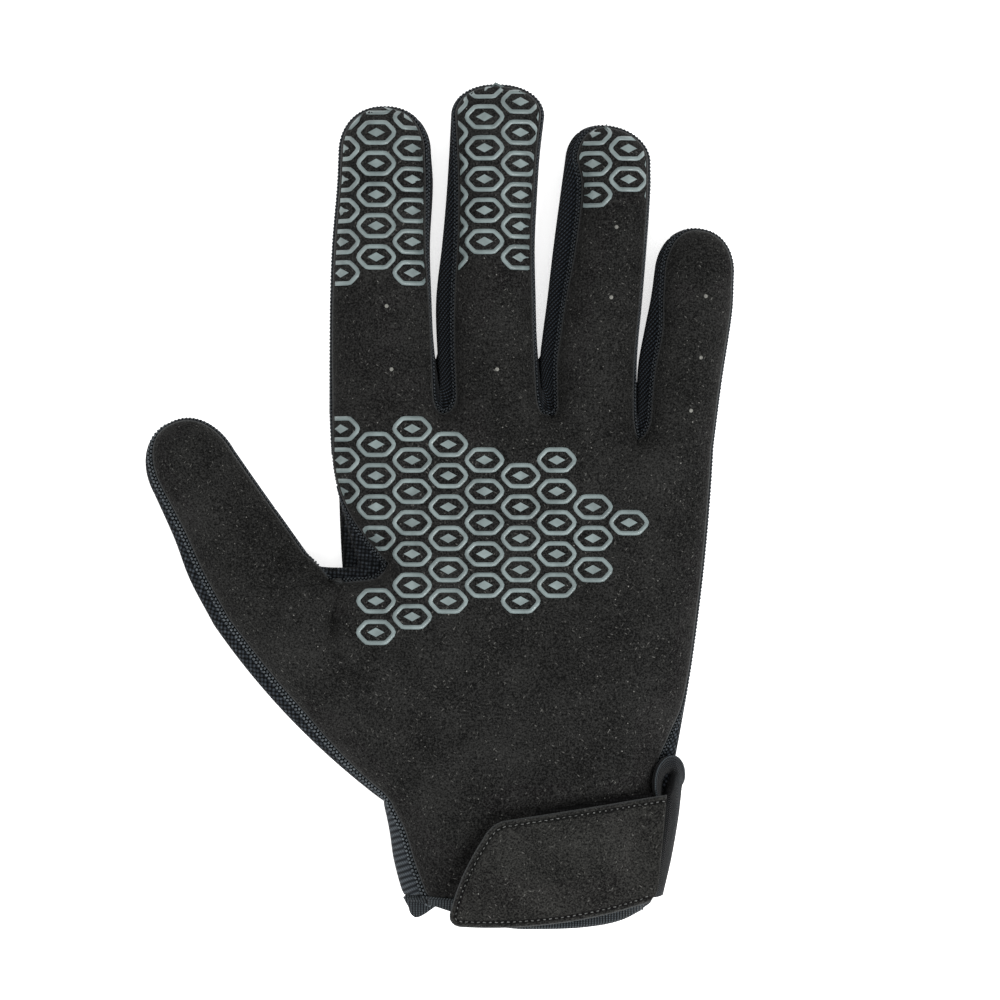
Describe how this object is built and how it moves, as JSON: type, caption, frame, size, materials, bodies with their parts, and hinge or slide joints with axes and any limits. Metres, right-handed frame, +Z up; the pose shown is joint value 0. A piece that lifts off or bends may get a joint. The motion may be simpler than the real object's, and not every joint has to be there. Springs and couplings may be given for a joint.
{
  "type": "motorcycle glove",
  "caption": "Left-hand motorcycle glove lying palm up: suede palm, mesh knit back, corded finger side strips, bound cuff and a closing strap with elastic.",
  "frame": {"origin": "middle of the surface the glove lies on, at the centre of its outline seen from above", "axes": "+Z up, out of the palm; +Y from the cuff to the fingertips; -X towards the thumb"},
  "size_m": [0.1588, 0.2272, 0.0234],
  "materials": {
    "suede": "synthetic suede, near black, brushed nap with pale fibre specks, no sheen",
    "mesh_knit": "fine polyester mesh knit, blue-black, dotted",
    "cord_knit": "corded twill knit, blue-black, matt",
    "rib_elastic": "ribbed elastic knit, dark slate, matt",
    "hook_tape": "hook and loop tape, black, matt",
    "thread": "sewing thread, black, slight sheen",
    "grip_print": "raised silicone print, grey, matt"
  },
  "bodies": {
    "root": {"palm_panel": "suede", "back_panel": "mesh_knit", "wrist_rib": "rib_elastic", "gusset_thumb": "mesh_knit", "gusset_index_middle": "cord_knit", "gusset_middle_ring": "cord_knit", "gusset_ring_little": "cord_knit", "cuff_binding": "rib_elastic", "strap_tab": "suede", "strap_hook": "hook_tape", "strap_elastic": "rib_elastic"}
  },
  "joints": []
}
